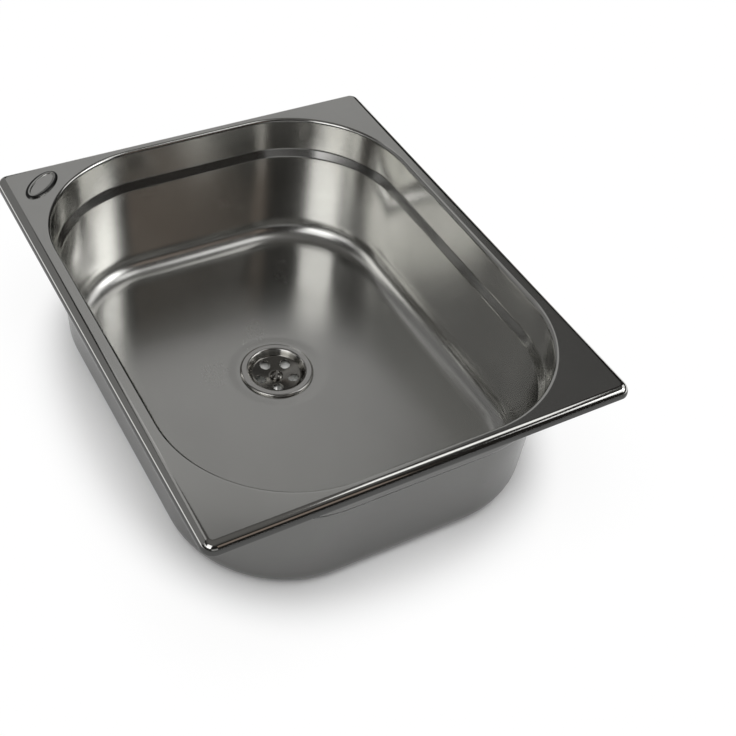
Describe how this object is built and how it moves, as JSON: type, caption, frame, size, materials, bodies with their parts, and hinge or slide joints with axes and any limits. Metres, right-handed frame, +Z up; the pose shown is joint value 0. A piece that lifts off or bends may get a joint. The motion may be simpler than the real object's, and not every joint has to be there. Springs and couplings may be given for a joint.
{
  "type": "camping sink",
  "caption": "Drop-in camping sink: a deep-drawn steel basin with a wide flange, a strainer waste held by a centre screw, and a swivelling hose elbow under the floor.",
  "frame": {"origin": "middle of the plane that the rim's turned-down lip rests on, which is the top of the worktop", "axes": "+X along the short side, +Y along the long side towards the end that the drain is nearer to, +Z up"},
  "size_m": [0.265, 0.325, 0.1611],
  "materials": {
    "satin_steel": "satin, drawn",
    "polished_steel": "polished",
    "gasket_rubber": "matt",
    "waste_plastic": "moulded, white",
    "insert_brass": "turned"
  },
  "bodies": {
    "sink": {"basin": "satin_steel", "upper_gasket": "gasket_rubber", "lower_gasket": "gasket_rubber", "waste_body": "waste_plastic", "threaded_insert": "insert_brass", "union_seal": "gasket_rubber"},
    "strainer": {"strainer": "polished_steel"},
    "strainer_screw": {"strainer_screw": "polished_steel"},
    "union_nut": {"union_nut": "waste_plastic"},
    "outlet_elbow": {"outlet_elbow": "waste_plastic"}
  },
  "joints": [
    {"name": "strainer_lift", "type": "slide", "parent": "sink", "child": "strainer", "axis": [0, 0, 1], "range_m": [0, 0.13]},
    {"name": "screw_turn", "type": "hinge", "parent": "strainer", "child": "strainer_screw", "pos_m": [0, 0.015, -0.095], "axis": [0, 0, 1], "continuous": true},
    {"name": "nut_turn", "type": "hinge", "parent": "sink", "child": "union_nut", "pos_m": [0, 0.015, -0.117], "axis": [0, 0, 1], "continuous": true},
    {"name": "elbow_swivel", "type": "hinge", "parent": "sink", "child": "outlet_elbow", "pos_m": [0, 0.015, -0.123], "axis": [0, 0, 1], "continuous": true}
  ]
}
